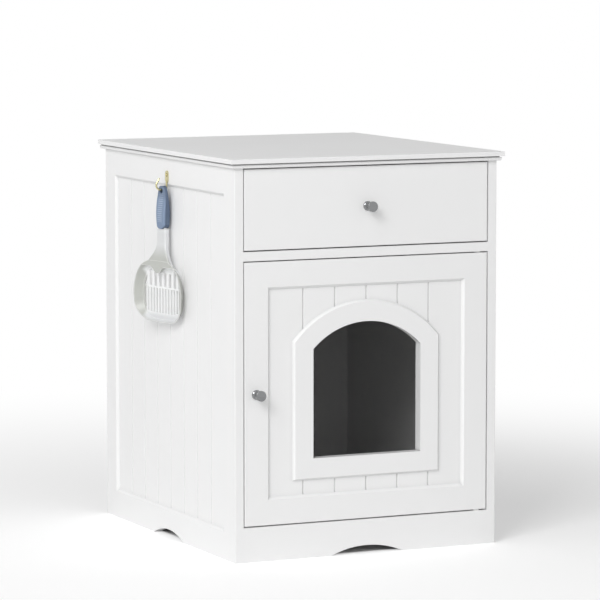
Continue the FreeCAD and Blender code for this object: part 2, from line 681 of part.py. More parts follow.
# ---------------------------------------------------------------- knobs
def knob(x, z):
    """Turned knob: a foot, a hollow neck and a mushroom head with a low dome."""
    neck_at = KNOB_LENGTH * 0.36
    head_at = KNOB_LENGTH * 0.72
    neck_curve = (KNOB_NECK_RADIUS + 0.4, KNOB_LENGTH * 0.16)
    head_curve = (KNOB_NECK_RADIUS + 0.9, KNOB_LENGTH * 0.56)
    face_radius = KNOB_HEAD_RADIUS - KNOB_EDGE
    face_rim = KNOB_LENGTH - KNOB_DOME
    edge_mid = KNOB_EDGE * math.sqrt(0.5)
    sphere = (face_radius ** 2 + KNOB_DOME ** 2) / (2 * KNOB_DOME)
    half_angle = math.asin(face_radius / sphere) / 2
    dome_mid = (sphere * math.sin(half_angle), KNOB_LENGTH - sphere * (1 - math.cos(half_angle)))

    def at(radius, out):
        return V(radius, -out, 0)

    rim = outline((at(0, 0), at(KNOB_FOOT_RADIUS, 0)),
                  (at(KNOB_FOOT_RADIUS, 0), at(KNOB_FOOT_RADIUS, KNOB_FOOT)),
                  (at(KNOB_FOOT_RADIUS, KNOB_FOOT), at(*neck_curve), at(KNOB_NECK_RADIUS, neck_at)),
                  (at(KNOB_NECK_RADIUS, neck_at), at(*head_curve), at(KNOB_HEAD_RADIUS, head_at)),
                  (at(KNOB_HEAD_RADIUS, head_at), at(KNOB_HEAD_RADIUS, face_rim - KNOB_EDGE)),
                  (at(KNOB_HEAD_RADIUS, face_rim - KNOB_EDGE),
                   at(face_radius + edge_mid, face_rim - KNOB_EDGE + edge_mid),
                   at(face_radius, face_rim)),
                  (at(face_radius, face_rim), at(*dome_mid), at(0, KNOB_LENGTH)),
                  (at(0, KNOB_LENGTH), at(0, 0)))
    body = Part.Face(rim).revolve(V(0, 0, 0), BACKWARD, 360)
    body = body.cut(hole(V(0, 0, 0), FORWARD, KNOB_SCREW_RADIUS, KNOB_SCREW_GRIP))
    return body.translate(V(x, FRONT_Y, z))


def knob_screw(x, z):
    return screw(V(x, DOOR_REAR_Y, z), FORWARD, KNOB_SCREW_RADIUS,
                 DOOR_THICKNESS + KNOB_SCREW_GRIP, KNOB_SCREW_RADIUS * 2, KNOB_SCREW_RADIUS)


# ---------------------------------------------------------------- magnetic catch
def catch_front_y():
    return DOOR_REAR_Y + CATCH_PLATE_THICKNESS + CATCH_GAP


def catch_middle_y():
    return catch_front_y() + CATCH_DEPTH / 2


def catch_screw_places():
    offset = (CATCH_WIDTH + CATCH_EAR) / 2
    return (CATCH_X - offset, CATCH_X + offset)


def catch_plate_z():
    return DOOR_TOP - CATCH_HEIGHT / 2


def magnetic_catch():
    half = CATCH_WIDTH / 2
    front = catch_front_y()
    rear = front + CATCH_DEPTH
    housing = block(CATCH_X - half, CATCH_X + half, front, rear,
                    DIVIDER_BOTTOM - CATCH_HEIGHT, DIVIDER_BOTTOM)
    ears = block(CATCH_X - half - CATCH_EAR, CATCH_X + half + CATCH_EAR, front + CATCH_EAR / 4,
                 rear - CATCH_EAR / 4, DIVIDER_BOTTOM - CATCH_EAR_THICKNESS, DIVIDER_BOTTOM)
    holes = [hole(V(x, catch_middle_y(), DIVIDER_BOTTOM), DOWN, SCREW_RADIUS, CATCH_EAR_THICKNESS)
             for x in catch_screw_places()]
    return housing.fuse(ears).cut(holes).removeSplitter()


def catch_screws():
    screws = [screw(V(x, catch_middle_y(), DIVIDER_BOTTOM - CATCH_EAR_THICKNESS), UP,
                    SCREW_RADIUS, CATCH_EAR_THICKNESS + BOARD * 0.7,
                    SCREW_RADIUS * 2, SCREW_RADIUS) for x in catch_screw_places()]
    return Part.makeCompound(screws)


def catch_plate():
    half_width = CATCH_WIDTH / 2 + 2 * SCREW_RADIUS
    half_height = CATCH_HEIGHT / 2 - 1
    z = catch_plate_z()
    strip = block(CATCH_X - half_width, CATCH_X + half_width, DOOR_REAR_Y,
                  DOOR_REAR_Y + CATCH_PLATE_THICKNESS, z - half_height, z + half_height)
    return strip.cut(countersunk(HOLE_GAP))


def countersunk(clearance):
    """Countersunk screw of the catch plate, its head flush with the plate."""
    radius = SCREW_RADIUS + clearance
    face = V(CATCH_X, DOOR_REAR_Y + CATCH_PLATE_THICKNESS, catch_plate_z())
    head = Part.makeCone(radius + CATCH_PLATE_THICKNESS, radius, CATCH_PLATE_THICKNESS,
                         face, FORWARD)
    shank = rod(face, FORWARD, radius, CATCH_PLATE_THICKNESS + BOARD * 0.8)
    return head.fuse(shank).removeSplitter()


# ---------------------------------------------------------------- drawer
def drawer_front():
    board = block(-FRONT_HALF_WIDTH, FRONT_HALF_WIDTH, FRONT_Y, DOOR_REAR_Y,
                  FRONT_BOTTOM, FRONT_TOP)
    board = round_edges(board, EDGE_ROUND, lambda edge: at_level(edge, BACKWARD, FRONT_Y))
    holes = [hole(V(0, DOOR_REAR_Y, DRAWER_KNOB_Z), FORWARD, KNOB_SCREW_RADIUS, DOOR_THICKNESS)]
    groove = block(-BOX_INNER_X - DRAWER_GROOVE_DEPTH, BOX_INNER_X + DRAWER_GROOVE_DEPTH,
                   DOOR_REAR_Y - DRAWER_GROOVE_DEPTH, DOOR_REAR_Y,
                   BOX_FLOOR_Z - BACK_PLAY / 2,
                   BOX_FLOOR_Z + DRAWER_BOTTOM_THICKNESS + BACK_PLAY / 2)
    return board.cut(holes + [groove] + drawer_dowels(HOLE_GAP))


def drawer_side_right():
    board = block(BOX_INNER_X, BOX_OUTER_X, DOOR_REAR_Y, BOX_REAR_Y, BOX_BOTTOM, BOX_TOP)
    groove = block(BOX_INNER_X, BOX_INNER_X + DRAWER_GROOVE_DEPTH, DOOR_REAR_Y, BOX_REAR_Y,
                   BOX_FLOOR_Z - BACK_PLAY / 2,
                   BOX_FLOOR_Z + DRAWER_BOTTOM_THICKNESS + BACK_PLAY / 2)
    screws = [hole(seat, LEFT, SCREW_RADIUS, DRAWER_BOARD) for seat in box_screw_seats()]
    runner = [hole(V(BOX_OUTER_X, y, rear_roller_z()), LEFT, SCREW_RADIUS, DRAWER_BOARD / 2)
              for y in drawer_runner_screw_ys()]
    return board.cut([groove] + screws + runner + drawer_dowels(HOLE_GAP))


def drawer_back():
    board = block(-BOX_INNER_X, BOX_INNER_X, BOX_REAR_Y - DRAWER_BOARD, BOX_REAR_Y,
                  BOX_FLOOR_Z + DRAWER_BOTTOM_THICKNESS, BOX_TOP)
    holes = [hole(seat, LEFT, SCREW_RADIUS, DRAWER_BOARD * 2.5) for seat in box_screw_seats()]
    holes += [mirrored(cutter) for cutter in holes]
    holes += [hole(seat, UP, SCREW_RADIUS, DRAWER_BOARD) for seat in floor_screw_seats()]
    return board.cut(holes)


def drawer_bottom():
    half = BOX_INNER_X + DRAWER_GROOVE_DEPTH - BACK_PLAY
    sheet = block(-half, half, DOOR_REAR_Y - DRAWER_GROOVE_DEPTH + BACK_PLAY, BOX_REAR_Y,
                  BOX_FLOOR_Z, BOX_FLOOR_Z + DRAWER_BOTTOM_THICKNESS)
    return sheet.cut([hole(seat, UP, SCREW_RADIUS, DRAWER_BOARD) for seat in floor_screw_seats()])


def spread_between(low, high):
    """Two levels that share out the height from low to high."""
    return [low + (high - low) * share for share in (0.25, 0.8)]


def drawer_dowels(clearance=0.0):
    """Dowels between the drawer's front and its sides."""
    x = (BOX_INNER_X + BOX_OUTER_X) / 2
    floor_top = BOX_FLOOR_Z + DRAWER_BOTTOM_THICKNESS
    levels = spread_between(floor_top, BOX_TOP)
    pegs = [rod(V(x, DOOR_REAR_Y - PIN_IN_PANEL, z), BACKWARD,
                DOWEL_RADIUS + clearance, DOWEL_LENGTH) for z in levels]
    return pegs + [mirrored(peg) for peg in pegs]


def box_screw_seats():
    y = BOX_REAR_Y - DRAWER_BOARD / 2
    return [V(BOX_OUTER_X, y, z) for z in spread_between(runner_web_top(), BOX_TOP)]


def floor_screw_seats():
    y = BOX_REAR_Y - DRAWER_BOARD / 2
    return [V(x, y, BOX_FLOOR_Z) for x in (-BOX_INNER_X / 2, BOX_INNER_X / 2)]


def drawer_box_screws():
    """Screws from the sides into the back, and from the floor up into the back."""
    screws = []
    for seat in box_screw_seats():
        screws += both_sides(screw(seat, LEFT, SCREW_RADIUS, DRAWER_BOARD * 2.5,
                                   SCREW_RADIUS * 2, SCREW_RADIUS))
    for seat in floor_screw_seats():
        screws.append(screw(seat, UP, SCREW_RADIUS, DRAWER_BOARD,
                            SCREW_RADIUS * 2, SCREW_RADIUS))
    return Part.makeCompound(screws)


# ---------------------------------------------------------------- roller runners
def track_bottom():
    """Upper face of the track that the rear roller runs on."""
    return rear_roller_z() - ROLLER_RADIUS - ROLLER_GAP


def rear_roller_z():
    return BOX_BOTTOM + ROLLER_RADIUS


def channel_top():
    return rear_roller_z() + ROLLER_RADIUS + ROLLER_HEADROOM + RUNNER_THICKNESS


def front_roller_z():
    """The front roller stands so high that the drawer's flange passes over the channel."""
    return channel_top() + ROLLER_HEADROOM - ROLLER_GAP - ROLLER_RADIUS


def drawer_flange_z():
    return front_roller_z() + ROLLER_RADIUS + ROLLER_GAP


def runner_web_top():
    return drawer_flange_z() + RUNNER_THICKNESS


def runner_front_y():
    return DOOR_REAR_Y + ROLLER_RADIUS


def front_roller_y():
    return runner_front_y() + ROLLER_RADIUS * 1.6


def rear_roller_y():
    return BOX_REAR_Y - ROLLER_RADIUS


def channel_front_y():
    return front_roller_y() + ROLLER_RADIUS * 1.5


def roller_inner_x():
    return BOX_OUTER_X + (RUNNER_SPACE - ROLLER_WIDTH) / 2


def roller_outer_x():
    return roller_inner_x() + ROLLER_WIDTH


def stop_rear_y():
    """Rear face of the stop that the rear roller meets with the drawer right out."""
    height = ROLLER_RADIUS + ROLLER_GAP - STOP_HEIGHT
    return (rear_roller_y() - DRAWER_TRAVEL
            - math.sqrt(ROLLER_RADIUS ** 2 - height ** 2) - HOLE_GAP * 3)


def cabinet_runner_screw_ys():
    return (channel_front_y() + RUNNER_LENGTH * 0.05, channel_front_y() + RUNNER_LENGTH * 0.4,
            channel_front_y() + RUNNER_LENGTH * 0.85)


def drawer_runner_screw_ys():
    return (DOOR_REAR_Y + RUNNER_LENGTH * 0.12, DOOR_REAR_Y + RUNNER_LENGTH * 0.45,
            DOOR_REAR_Y + RUNNER_LENGTH * 0.8)


def runner_cabinet_right():
    """Channel on the cabinet's side, with an axle for the front roller at its front end."""
    web_x = INNER_X - RUNNER_THICKNESS
    rear = runner_front_y() + RUNNER_LENGTH
    lip_x = roller_inner_x() - HOLE_GAP * 4
    floor_z = track_bottom()
    z = front_roller_z()
    web = block(web_x, INNER_X, runner_front_y(), rear, floor_z - RUNNER_THICKNESS, channel_top())
    lower = block(lip_x, web_x, channel_front_y(), rear, floor_z - RUNNER_THICKNESS, floor_z)
    upper = block(lip_x, web_x, channel_front_y(), rear, channel_top() - RUNNER_THICKNESS,
                  channel_top())
    stop = block(roller_inner_x(), roller_outer_x(), stop_rear_y() - RUNNER_THICKNESS, stop_rear_y(),
                 floor_z, floor_z + STOP_HEIGHT)
    axle = roller_axle(V(web_x, front_roller_y(), z), LEFT, web_x - roller_outer_x())
    holes = [hole(V(web_x, y, rear_roller_z()), RIGHT, SCREW_RADIUS, RUNNER_THICKNESS)
             for y in cabinet_runner_screw_ys()]
    return web.fuse([lower, upper, stop, axle]).cut(holes).removeSplitter()


def roller_axle(root, direction, distance):
    """Shoulder up to the roller, the axle through it and a riveted head."""
    play = HOLE_GAP
    shoulder = rod(root, direction, AXLE_HEAD_RADIUS, distance - play)
    axle = rod(root, direction, AXLE_RADIUS, distance + ROLLER_WIDTH + play)
    head = rod(root + direction * (distance + ROLLER_WIDTH + play), direction,
               AXLE_HEAD_RADIUS, AXLE_HEAD)
    return shoulder.fuse([axle, head])


def runner_drawer_right():
    """Angle on the drawer's side: a web, and a flange that rolls on the front roller."""
    web_end = BOX_OUTER_X + RUNNER_THICKNESS
    z = rear_roller_z()
    top = runner_web_top()
    web = block(BOX_OUTER_X, web_end, DOOR_REAR_Y, BOX_REAR_Y,
                z - ROLLER_RADIUS * 0.6, top)
    flange = block(web_end, roller_outer_x(), DOOR_REAR_Y, BOX_REAR_Y, drawer_flange_z(), top)
    axle = roller_axle(V(web_end, rear_roller_y(), z), RIGHT, roller_inner_x() - web_end)
    holes = [hole(V(web_end, y, z), LEFT, SCREW_RADIUS, RUNNER_THICKNESS)
             for y in drawer_runner_screw_ys()]
    return web.fuse([flange, axle]).cut(holes).removeSplitter()


def roller(y, z):
    body = rod(V(roller_inner_x(), y, z), RIGHT, ROLLER_RADIUS, ROLLER_WIDTH)
    bore = rod(V(roller_inner_x(), y, z), RIGHT, AXLE_RADIUS + AXLE_RUNNING_GAP, ROLLER_WIDTH)
    return body.cut(bore)


def runner_screws():
    """Flat-headed screws of the cabinet's runners."""
    screws = []
    web_x = INNER_X - RUNNER_THICKNESS
    for y in cabinet_runner_screw_ys():
        seat = V(web_x, y, rear_roller_z())
        screws += both_sides(screw(seat, RIGHT, SCREW_RADIUS, RUNNER_THICKNESS + PIN_IN_PANEL,
                                   SCREW_RADIUS * 2, SCREW_RADIUS * 0.35))
    return Part.makeCompound(screws)


def drawer_runner_screws():
    """Flat-headed screws of the drawer's runners."""
    screws = []
    web_end = BOX_OUTER_X + RUNNER_THICKNESS
    for y in drawer_runner_screw_ys():
        seat = V(web_end, y, rear_roller_z())
        screws += both_sides(screw(seat, LEFT, SCREW_RADIUS, RUNNER_THICKNESS + DRAWER_BOARD / 2,
                                   SCREW_RADIUS * 2, SCREW_RADIUS * 0.35))
    return Part.makeCompound(screws)


def runner_screw_cutters():
    cutters = [hole(V(INNER_X, y, rear_roller_z()), RIGHT, SCREW_RADIUS, PIN_IN_PANEL)
               for y in cabinet_runner_screw_ys()]
    return cutters + [mirrored(cutter) for cutter in cutters]


# ---------------------------------------------------------------- scoop
# The scoop is drawn upright in its own frame: x across it, its open side towards -Y, and y = 0
# in the handle's middle plane. It is then turned and hung on the wire.
EYE_Z = HOOK_SEAT_Z - (EYE_RADIUS - SEAT_GAP - HOOK_WIRE_RADIUS)
SCOOP_TOP = EYE_Z + EYE_RADIUS + EYE_TOP_WALL
SCOOP_BOTTOM = SCOOP_TOP - SCOOP_LENGTH
GRIP_BOTTOM = SCOOP_TOP - GRIP_LENGTH
RIM_CENTRE = SCOOP_BOTTOM + RIM_TOP / 2
WALL_LEAN = (RIM_WIDTH - FLOOR_WIDTH) / 2 / (RIM_OUT + FLOOR_BACK)


def outlines_face(edge):
    """True for the edges round the faces that look to the front and to the back."""
    return not runs_along(edge, BACKWARD) and not runs_along(edge, RIGHT)


def hung(shape):
    shape.rotate(V(0, 0, 0), UP, -(90 - SCOOP_TURN))
    shape.translate(V(-OUTER_X - SCOOP_STANDOFF, 0, 0))
    return shape


def left_half(right_half):
    """The same outline pieces on the other side, in the order that goes on round."""
    return [tuple(V(-point.x, point.y, point.z) for point in piece[::-1])
            for piece in right_half[::-1]]


def basket_section(out, inset):
    """Outline of the basket's wall at a distance out, moved inwards by inset.

    The walls lean outwards from the floor to the rim, so every section is the rim's outline
    drawn in towards its middle.
    """
    half = RIM_WIDTH / 2
    share = (half - WALL_LEAN * (RIM_OUT - out) - inset) / half

    def at(across, up):
        return V(across * share, -out, RIM_CENTRE + (up - RIM_TOP / 2) * share)

    side = [(at(RIM_BOW, 1.5), at(half * 0.87, RIM_CORNER * 0.38), at(half * 0.985, RIM_CORNER)),
            (at(half * 0.985, RIM_CORNER), at(half, (RIM_CORNER + RIM_SHOULDER) / 2),
             at(half * 0.97, RIM_SHOULDER)),
            (at(half * 0.97, RIM_SHOULDER), at(half * 0.78, RIM_TOP * 0.85),
             at(half * 0.38, RIM_TOP))]
    top = [(side[-1][-1], at(-half * 0.38, RIM_TOP))]
    bow = [(at(-RIM_BOW, 1.5), at(0, 0), side[0][0])]
    return outline(*(side + top + left_half(side) + bow))


def basket_loft(back, front, inset):
    return Part.makeLoft([basket_section(back, inset), basket_section(front, inset)], True, True)


def lip_cutter():
    """What lies in front of the rim: it curves back to the lip along the bottom edge."""
    far = RIM_OUT * 3
    low = SCOOP_BOTTOM

    def at(out, up):
        return V(-RIM_WIDTH, -out, low + up)

    curve = [(at(LIP_OUT, 0), at(RIM_OUT * 0.8, RIM_CORNER * 0.45),
              at(RIM_OUT, RIM_SHOULDER * 0.8))]
    rest = [(at(RIM_OUT, RIM_SHOULDER * 0.8), at(RIM_OUT, HOOD_EDGE)),
            (at(RIM_OUT, HOOD_EDGE), at(NECK_THICKNESS / 2, FLARE_TOP)),
            (at(NECK_THICKNESS / 2, FLARE_TOP), at(far, FLARE_TOP)),
            (at(far, FLARE_TOP), at(far, 0)),
            (at(far, 0), at(LIP_OUT, 0))]
    return plate(outline(*(curve + rest)), RIGHT * (2 * RIM_WIDTH))


def hood_outline():
    """Area above the edge of the closed shoulder, with a beak in the middle of that edge."""
    edge = SCOOP_BOTTOM + HOOD_EDGE
    turn = edge - BEAK_DROP * 0.6
    half = BEAK_HALF_WIDTH

    def at(across, up):
        return V(across, 0, up)

    right = [(at(half / 2, turn), at(half * 0.7, edge - BEAK_DROP * 0.2), at(half, edge)),
             (at(half, edge), at(RIM_WIDTH, edge)),
             (at(RIM_WIDTH, edge), at(RIM_WIDTH, edge + RIM_TOP))]
    top = [(right[-1][-1], at(-RIM_WIDTH, edge + RIM_TOP))]
    beak = [(at(-half / 2, turn), at(0, edge - BEAK_DROP), right[0][0])]
    return outline(*(right + top + left_half(right) + beak))


def softened(corners, reach):
    """Outline of a polygon whose corners are rounded over the given reach."""
    pieces = []
    last = corners[-1]
    for index, corner in enumerate(corners):
        following = corners[(index + 1) % len(corners)]
        start = corner + (last - corner).normalize() * reach
        end = corner + (following - corner).normalize() * reach
        middle = corner + ((start + end) / 2 - corner) * 0.586
        pieces.append((start, middle, end))
        pieces.append((end, following + (corner - following).normalize() * reach))
        last = corner
    return outline(*pieces)


def neck_section(up):
    """Section of the neck and of its flare into the shoulders, which lean like the wall."""
    share = max(0.0, (FLARE_TOP - up) / (FLARE_TOP - HOOD_EDGE))
    bar = NECK_THICKNESS / 2
    front_half = NECK_WIDTH / 2 + (FLARE_WIDTH - NECK_WIDTH) / 2 * share ** 1.8
    front = bar + (RIM_OUT - bar) * share ** 1.2
    back = bar + (FLOOR_BACK - bar) * share
    back_half = front_half - WALL_LEAN * (front + back) * share
    z = SCOOP_BOTTOM + up
    corners = [V(front_half, -front, z), V(-front_half, -front, z),
               V(-back_half, back, z), V(back_half, back, z)]
    return softened(corners, NECK_ROUND)


def neck():
    """A flat bar with rounded edges that widens into the shoulders."""
    rise = FLARE_TOP - HOOD_EDGE
    stations = [neck_section(HOOD_EDGE + rise * step / 5) for step in range(6)]
    flare = Part.makeLoft(stations, True, False)
    bar = plate(neck_section(FLARE_TOP), UP * (GRIP_BOTTOM - SCOOP_BOTTOM - FLARE_TOP))
    return flare.fuse(bar)


def slot(x, width, foot, top):
    return block(x - width / 2, x + width / 2, -RIM_OUT, RIM_OUT,
                 SCOOP_BOTTOM + foot, SCOOP_BOTTOM + top)


def basket_slots():
    """Cutter for the two rows of slots in the floor; the upper row ends under the shoulder."""
    slots = []
    for index in range(LOWER_SLOT_COUNT):
        x = (index - (LOWER_SLOT_COUNT - 1) / 2) * LOWER_SLOT_PITCH
        rise = (x / RIM_WIDTH * 4) ** 4
        slots.append(slot(x, LOWER_SLOT_WIDTH, LOWER_SLOT_FOOT + rise, LOWER_SLOT_TOP))
    for index in range(UPPER_SLOT_COUNT):
        x = (index - (UPPER_SLOT_COUNT - 1) / 2) * UPPER_SLOT_PITCH
        top = HOOD_EDGE - SLOT_BAR
        if abs(x) < BEAK_HALF_WIDTH:
            top -= BEAK_DROP * 0.8
        slots.append(slot(x, UPPER_SLOT_WIDTH, LOWER_SLOT_TOP + SLOT_BAR, top))
    floor = basket_section(-FLOOR_BACK, SLOT_MARGIN)
    return Part.makeCompound(slots).common(plate(floor, FORWARD * RIM_OUT))


def scoop_tongue():
    """Flat end of the neck that the grip is moulded round."""
    return block(-TONGUE_WIDTH / 2, TONGUE_WIDTH / 2, -TONGUE_THICKNESS / 2, TONGUE_THICKNESS / 2,
                 GRIP_BOTTOM, GRIP_BOTTOM + TONGUE_LENGTH)


def scoop_body():
    """A leaning wall round a slotted floor, closed over its upper end by the shoulder."""
    hollow = basket_loft(FLOOR_THICKNESS - FLOOR_BACK, RIM_OUT * 1.5, BASKET_WALL)
    hood = Part.Face(hood_outline()).extrude(BACKWARD * (4 * RIM_OUT))
    hood.translate(FORWARD * (2 * RIM_OUT))
    basket = basket_loft(-FLOOR_BACK, RIM_OUT, 0).cut(lip_cutter())
    body = basket.fuse(neck()).cut([hollow.cut(hood), basket_slots()])
    return hung(body.fuse(scoop_tongue()).removeSplitter())


def grip_front_outline():
    """The grip seen from the open side: a round eye end, tapering to a round lower end."""
    eye = GRIP_WIDTH * 0.38
    half = GRIP_WIDTH / 2
    end = GRIP_END_WIDTH / 2

    def at(across, up):
        return V(across, 0, up)

    shoulder = EYE_Z - 9
    widest = EYE_Z - 21
    right = [(at(end, GRIP_BOTTOM + 7), at(half, widest)),
             (at(half, widest), at(half * 0.96, shoulder), at(eye, EYE_Z + 2))]
    left = left_half(right)
    crown = [(right[-1][-1], at(0, SCOOP_TOP), left[0][0])]
    foot = [(left[-1][-1], at(0, GRIP_BOTTOM), right[0][0])]
    return outline(*(right + crown + left + foot))


def grip_side_outline():
    """The grip seen from its edge: a thin eye and a full palm. It reaches past both ends."""
    eye = EYE_THICKNESS / 2
    palm = GRIP_THICKNESS / 2
    end = NECK_THICKNESS / 2 + 1
    top = SCOOP_TOP + 2
    foot = GRIP_BOTTOM - 2

    def at(out, up):
        return V(-GRIP_WIDTH, -out, up)

    def half_of(side):
        return [(at(side * end, foot), at(side * palm, GRIP_BOTTOM + 24),
                 at(side * (palm - 1), EYE_Z - 26)),
                (at(side * (palm - 1), EYE_Z - 26), at(side * eye, EYE_Z - 8)),
                (at(side * eye, EYE_Z - 8), at(side * eye, top))]

    front = half_of(1)
    rear = [piece[::-1] for piece in half_of(-1)[::-1]]
    closing = [(front[-1][-1], rear[0][0])]
    opening = [(rear[-1][-1], front[0][0])]
    return outline(*(front + closing + rear + opening))


def scoop_grip():
    slab = Part.Face(grip_front_outline()).extrude(BACKWARD * (2 * GRIP_THICKNESS))
    slab.translate(FORWARD * GRIP_THICKNESS)
    grip = slab.common(plate(grip_side_outline(), RIGHT * (2 * GRIP_WIDTH)))
    grip = round_edges(grip, GRIP_ROUND, outlines_face)
    eye = rod(V(0, -GRIP_THICKNESS, EYE_Z), BACKWARD, EYE_RADIUS, 2 * GRIP_THICKNESS)
    return hung(grip.cut([eye, scoop_tongue()]))


# ---------------------------------------------------------------- everything
def cabinet_nodes():
    cutters = joint_cutters()
    side_cutters = cutters + runner_screw_cutters()
    nodes = side_panels(side_cutters)
    nodes["top_panel"] = top_panel(cutters)
    nodes["bottom_panel"] = bottom_panel(cutters)
    nodes["divider_panel"] = divider_panel(cutters)
    nodes["front_apron"] = front_apron(cutters)
    nodes["back_panel"] = back_panel()
    nodes["back_panel_screws"] = back_panel_screws()
    nodes["scoop_hook"] = scoop_hook()
    nodes["hook_screw"] = hook_screw()
    nodes["magnetic_catch"] = magnetic_catch()
    nodes["catch_screws"] = catch_screws()
    nodes["runner_screws"] = runner_screws()
    nodes.update(joint_hardware())
    return nodes


def door_nodes():
    return {
        "door_panel": door_panel(),
        "door_knob": knob(DOOR_KNOB_X, DOOR_KNOB_Z),
        "door_knob_screw": knob_screw(DOOR_KNOB_X, DOOR_KNOB_Z),
        "catch_plate": catch_plate(),
        "catch_plate_screw": countersunk(0),
    }


def drawer_nodes():
    right_side = drawer_side_right()
    return {
        "drawer_front": drawer_front(),
        "drawer_side_right": right_side,
        "drawer_side_left": mirrored(right_side),
        "drawer_back": drawer_back(),
        "drawer_bottom": drawer_bottom(),
        "drawer_dowels": Part.makeCompound(drawer_dowels()),
        "drawer_box_screws": drawer_box_screws(),
        "drawer_runner_screws": drawer_runner_screws(),
        "drawer_knob": knob(0, DRAWER_KNOB_Z),
        "drawer_knob_screw": knob_screw(0, DRAWER_KNOB_Z),
    }


def runner_nodes():
    right_hand = {
        "runner_cabinet": runner_cabinet_right(),
        "runner_drawer": runner_drawer_right(),
        "roller_front": roller(front_roller_y(), front_roller_z()),
        "roller_rear": roller(rear_roller_y(), rear_roller_z()),
    }
    nodes = {}
    for name, shape in right_hand.items():
        nodes[name + "_right"] = shape
        nodes[name + "_left"] = mirrored(shape)
    return nodes


def main():
    os.makedirs("parts", exist_ok=True)
    nodes = cabinet_nodes()
    nodes.update(pivot_hardware())
    nodes.update(door_nodes())
    nodes.update(drawer_nodes())
    nodes.update(runner_nodes())
    nodes["scoop_body"] = scoop_body()
    nodes["scoop_grip"] = scoop_grip()
    for name, shape in nodes.items():
        shape.exportStep("parts/" + name + ".step")
        print(name, len(shape.Solids), "solid(s)", round(shape.Volume), "mm3",
              "valid" if shape.isValid() else "NOT VALID")


main()
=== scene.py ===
"""Looks of the litter box cabinet: finishes for every piece, a plain studio and the camera."""
import json
import math

import bpy
from mathutils import Euler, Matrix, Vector


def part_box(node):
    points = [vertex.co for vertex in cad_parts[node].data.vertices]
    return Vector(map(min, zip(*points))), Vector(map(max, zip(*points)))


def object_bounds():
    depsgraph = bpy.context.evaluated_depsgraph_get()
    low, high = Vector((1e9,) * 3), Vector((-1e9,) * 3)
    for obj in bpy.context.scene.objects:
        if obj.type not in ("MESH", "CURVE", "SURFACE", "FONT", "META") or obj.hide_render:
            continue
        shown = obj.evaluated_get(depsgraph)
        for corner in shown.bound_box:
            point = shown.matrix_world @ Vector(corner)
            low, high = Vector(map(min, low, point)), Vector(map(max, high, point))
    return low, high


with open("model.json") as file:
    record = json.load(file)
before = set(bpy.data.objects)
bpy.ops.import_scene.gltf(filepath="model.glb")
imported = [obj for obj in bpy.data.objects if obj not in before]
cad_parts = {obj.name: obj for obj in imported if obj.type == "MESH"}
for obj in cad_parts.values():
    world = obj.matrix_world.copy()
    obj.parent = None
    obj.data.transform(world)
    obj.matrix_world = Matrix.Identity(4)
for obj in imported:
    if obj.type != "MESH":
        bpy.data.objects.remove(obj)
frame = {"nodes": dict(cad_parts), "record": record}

bounds_at_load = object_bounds()

# ---------------------------------------------------------------- light, in metres and watts
KEY_AZIMUTH = 48.0          # degrees to the left of the front
KEY_ELEVATION = 32.0
KEY_DISTANCE = 6.0
KEY_SIZE = 2.6
KEY_POWER = 160.0
SKY_LEVEL = 0.885           # plain light from all round, at eye height
SKY_TOWARDS_KEY = 0.44      # more of it on the key's side
SKY_OVERHEAD = -0.75        # and less from overhead

# ---------------------------------------------------------------- floor, in metres
FLOOR_SIDE = 400.0
FLOOR_TONE = 0.9            # as it lights the cabinet
FLOOR_SEEN_TONE = 1.27      # paler where it shows, so that it reads as almost white
FLOOR_GLOW = 0.355          # share of what shows that is plain white, beside the cabinet
FLOOR_CLEAR_FROM = 0.4      # from the cabinet's middle to where the floor starts to clear
FLOOR_CLEAR_TO = 1.9        # and where it is plain white

# ---------------------------------------------------------------- camera, as in the photograph
CAMERA_PLACE = (-2.57985, -5.59008, 1.04362)
CAMERA_PITCH = 83.9271      # degrees up from looking straight down
CAMERA_YAW = -24.8312
CAMERA_LENS = 220.10
CAMERA_SENSOR = 36.0

# ---------------------------------------------------------------- painted boards, in metres
PAINTED_SHADE_REACH = 0.008       # how far painted shade reaches from a groove or a corner tone of that painted shade in the deepest of them
PAINTED_SHADE_TONE = 0.6          # in the deepest of them
PAINTED_SHADE_CLOSED = 0.4        # openness of the surroundings where that tone is reached
PAINTED_SHADE_OPEN = 0.95         # and where no more shade is left
PAINT_TONE = 0.86
PAINT_CLOUDS = 4.0          # scale of the paint's faint unevenness
PAINT_SPREAD = 0.006        # and how far it goes
INSIDE_PAINTED_SHADE_TONE = 0.6            # tone of the painted shade on the faces that look into the cabin and the drawer's space, and the back board's grey
PAINT_EDGE = 0.0003         # rounding of a painted edge
PEEL_SCALE = 900.0          # of the sprayed paint's orange peel
PEEL_STRENGTH = 0.25
PEEL_HEIGHT = 0.00003
FACE_PLAY = 0.0003          # by which the limits of the inside lie off the faces

# ---------------------------------------------------------------- metal, in metres
METAL_CLOUDS = 60.0
GLOSS_CLOUDS = 220.0        # scale at which its roughness changes
BRUSH_SCALE = 2500.0
BRUSH_DEPTH = 0.00002

# ---------------------------------------------------------------- scoop's plastic, in metres
SCOOP_TURN = 80.0           # degrees from its own front to the cabinet's
WALL_SHADE_OUT_FROM = 0.004       # out of the handle's middle plane, where the walls' painted shade starts
WALL_SHADE_OUT_TO = 0.009
WALL_SHADE_SIDE_FROM = 0.047      # and to each side of that plane's middle
WALL_SHADE_SIDE_TO = 0.053
SLOT_LIGHT_AT = -0.134           # height of the slotted floor's middle, from the grip's
SLOT_LIGHT_HALF = 0.040          # how far from there the floor keeps its painted light
SLOT_LIGHT_CLEAR = 0.048         # and where it has the neck's tone
SCOOP_EDGE = 0.0007         # rounding of its edges
HIGHLIGHT_REACH = 0.0016        # how far from an edge the painted highlight reaches
HIGHLIGHT_LEAN_FROM = 0.99       # cosine of the rounded edge's lean where that starts
HIGHLIGHT_LEAN_TO = 0.85         # and where it is full
CLOUD_SCALE = 14.0          # of the plastic's faint clouds
LIGHT_LET_THROUGH = 0.5     # share of the light that passes the plastic

